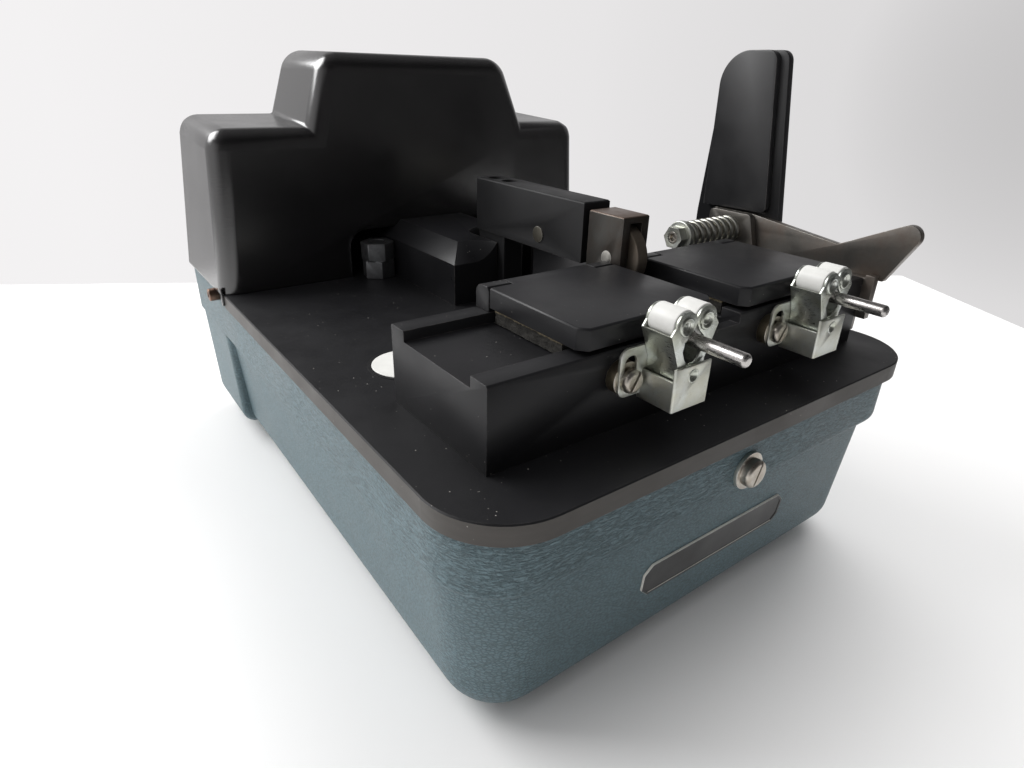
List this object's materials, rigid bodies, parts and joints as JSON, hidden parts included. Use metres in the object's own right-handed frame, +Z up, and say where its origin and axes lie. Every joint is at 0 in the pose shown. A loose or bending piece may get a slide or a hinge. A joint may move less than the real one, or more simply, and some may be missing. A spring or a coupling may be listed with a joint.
{
  "type": "film splicer",
  "caption": "Bench film splicer with hinged clamp plates, roller catches, a travelling arm that rolls a weld wheel along the seam, a side knife and a rear cover.",
  "frame": {"origin": "on the floor, at the middle of the overall width and depth", "axes": "+X to the right of a person who faces the clamps, +Y from the clamps back to the cover, +Z up"},
  "size_m": [0.2108, 0.2918, 0.1864],
  "materials": {
    "pan_plastic": "leather-grained moulded plastic",
    "cover_plastic": "satin drape-formed sheet with fine grain",
    "black_anodised": "black anodised, lightly worn at the edges",
    "bare_steel": "oiled bare steel with a brown stain",
    "bright_steel": "ground bright",
    "zinc_steel": "zinc plated, faint yellow and blue tint",
    "nickel_steel": "nickel plated",
    "white_nylon": "white turned nylon",
    "black_laminate": "black phenolic sheet with brown sawn edges",
    "black_rubber": "moulded rubber",
    "black_pad": "dense dark pad",
    "copper_steel": "copper plated screw",
    "blank_plate": "dark enamel with a pale raised border",
    "board_laminate": "circuit board laminate",
    "ceramic": "glazed ceramic stack",
    "titanium": "turned metal",
    "core_steel": "laminated core, varnished",
    "white_plastic": "moulded plastic",
    "black_plastic": "moulded plastic"
  },
  "bodies": {
    "base": {"base_pan": "pan_plastic", "rubber_feet": "black_rubber", "foot_screws": "zinc_steel", "pan_screw": "nickel_steel", "nameplate": "blank_plate", "table_plate": "black_anodised", "rear_cover": "cover_plastic", "side_screws": "copper_steel", "film_block": "black_anodised", "hinge_ears": "black_anodised", "hinge_pins": "bright_steel", "catch_housing_left": "zinc_steel", "catch_housing_right": "zinc_steel", "catch_pivots": "zinc_steel", "catch_springs": "bright_steel", "catch_screws": "nickel_steel", "fixed_blade": "black_anodised", "blade_screws": "black_anodised", "guide_rods": "bright_steel", "rod_brackets": "titanium", "motor_bracket": "zinc_steel", "drive_motor": "titanium", "horn": "titanium", "transducer": "ceramic", "guide_block": "black_anodised", "stop_stud": "zinc_steel", "button_bezel": "black_plastic", "button_switch": "black_plastic", "generator_board": "board_laminate", "transformer": "core_steel", "power_inlet": "black_plastic", "pivot_bolt": "zinc_steel", "pivot_nut": "zinc_steel", "knife_spring": "zinc_steel"},
    "left_clamp": {"clamp_plate_left": "black_anodised", "clamp_pad_left": "black_pad", "strike_rod_left": "bright_steel"},
    "right_clamp": {"clamp_plate_right": "black_anodised", "clamp_pad_right": "black_pad", "strike_rod_right": "bright_steel"},
    "knife": {"moving_blade": "bare_steel", "knife_lever": "black_laminate", "knife_grip": "black_laminate"},
    "arm_carriage": {"carriage": "black_anodised", "rack": "bright_steel", "travel_arm": "black_anodised", "arm_screws": "zinc_steel", "wheel_fork": "bare_steel", "wheel_pin": "bright_steel"},
    "wheel": {"weld_wheel": "bare_steel"},
    "pinion": {"drive_pinion": "bright_steel"},
    "button": {"start_button": "white_plastic"},
    "left_jaw_a": {"catch_jaw_left_a": "zinc_steel"},
    "left_roller_a": {"catch_roller_left_a": "white_nylon"},
    "left_jaw_b": {"catch_jaw_left_b": "zinc_steel"},
    "left_roller_b": {"catch_roller_left_b": "white_nylon"},
    "right_jaw_a": {"catch_jaw_right_a": "zinc_steel"},
    "right_roller_a": {"catch_roller_right_a": "white_nylon"},
    "right_jaw_b": {"catch_jaw_right_b": "zinc_steel"},
    "right_roller_b": {"catch_roller_right_b": "white_nylon"}
  },
  "joints": [
    {"name": "left_clamp_hinge", "type": "hinge", "parent": "base", "child": "left_clamp", "pos_m": [-0.02785, -0.0674, 0.11345], "axis": [-1, 0, 0], "range_deg": [0, 100]},
    {"name": "right_clamp_hinge", "type": "hinge", "parent": "base", "child": "right_clamp", "pos_m": [0.04015, -0.0674, 0.11345], "axis": [-1, 0, 0], "range_deg": [0, 100]},
    {"name": "left_jaw_a_hinge", "type": "hinge", "parent": "base", "child": "left_jaw_a", "pos_m": [-0.02785, -0.1251, 0.10365], "axis": [0, -1, 0], "range_deg": [0, 10], "stiffness_Nm_per_rad": 0.06, "springref_deg": -17.19},
    {"name": "left_roller_a_spin", "type": "hinge", "parent": "left_jaw_a", "child": "left_roller_a", "pos_m": [-0.0323, -0.1247, 0.11809], "axis": [0, 1, 0], "continuous": true},
    {"name": "left_jaw_b_hinge", "type": "hinge", "parent": "base", "child": "left_jaw_b", "pos_m": [-0.02785, -0.1251, 0.10365], "axis": [0, 1, 0], "range_deg": [0, 10], "stiffness_Nm_per_rad": 0.06, "springref_deg": -17.19},
    {"name": "left_roller_b_spin", "type": "hinge", "parent": "left_jaw_b", "child": "left_roller_b", "pos_m": [-0.0234, -0.1247, 0.11809], "axis": [0, 1, 0], "continuous": true},
    {"name": "right_jaw_a_hinge", "type": "hinge", "parent": "base", "child": "right_jaw_a", "pos_m": [0.04015, -0.1251, 0.10365], "axis": [0, -1, 0], "range_deg": [0, 10], "stiffness_Nm_per_rad": 0.06, "springref_deg": -17.19},
    {"name": "right_roller_a_spin", "type": "hinge", "parent": "right_jaw_a", "child": "right_roller_a", "pos_m": [0.0357, -0.1247, 0.11809], "axis": [0, 1, 0], "continuous": true},
    {"name": "right_jaw_b_hinge", "type": "hinge", "parent": "base", "child": "right_jaw_b", "pos_m": [0.04015, -0.1251, 0.10365], "axis": [0, 1, 0], "range_deg": [0, 10], "stiffness_Nm_per_rad": 0.06, "springref_deg": -17.19},
    {"name": "right_roller_b_spin", "type": "hinge", "parent": "right_jaw_b", "child": "right_roller_b", "pos_m": [0.0446, -0.1247, 0.11809], "axis": [0, 1, 0], "continuous": true},
    {"name": "knife_hinge", "type": "hinge", "parent": "base", "child": "knife", "pos_m": [0.0924, -0.0531, 0.11615], "axis": [1, 0, 0], "range_deg": [0, 16]},
    {"name": "carriage_slide", "type": "slide", "parent": "base", "child": "arm_carriage", "axis": [0, -1, 0], "range_m": [0, 0.038]},
    {"name": "wheel_spin", "type": "hinge", "parent": "arm_carriage", "child": "wheel", "pos_m": [0.00615, -0.0656, 0.1174], "axis": [1, 0, 0], "range_deg": [-5, 205]},
    {"name": "pinion_spin", "type": "hinge", "parent": "base", "child": "pinion", "pos_m": [0.03015, -0.0176, 0.0354], "axis": [1, 0, 0], "range_deg": [-5, 300]},
    {"name": "button_slide", "type": "slide", "parent": "base", "child": "button", "axis": [0, 0, -1], "range_m": [0, 0.0015], "stiffness_N_per_m": 600, "springref_m": -0.001}
  ],
  "couplings": [
    {"joint": "left_jaw_b_hinge", "follows": "left_jaw_a_hinge", "ratio": 1},
    {"joint": "right_jaw_b_hinge", "follows": "right_jaw_a_hinge", "ratio": 1},
    {"joint": "wheel_spin", "follows": "carriage_slide", "rad_per_m": 84.034},
    {"joint": "pinion_spin", "follows": "carriage_slide", "rad_per_m": 125}
  ]
}
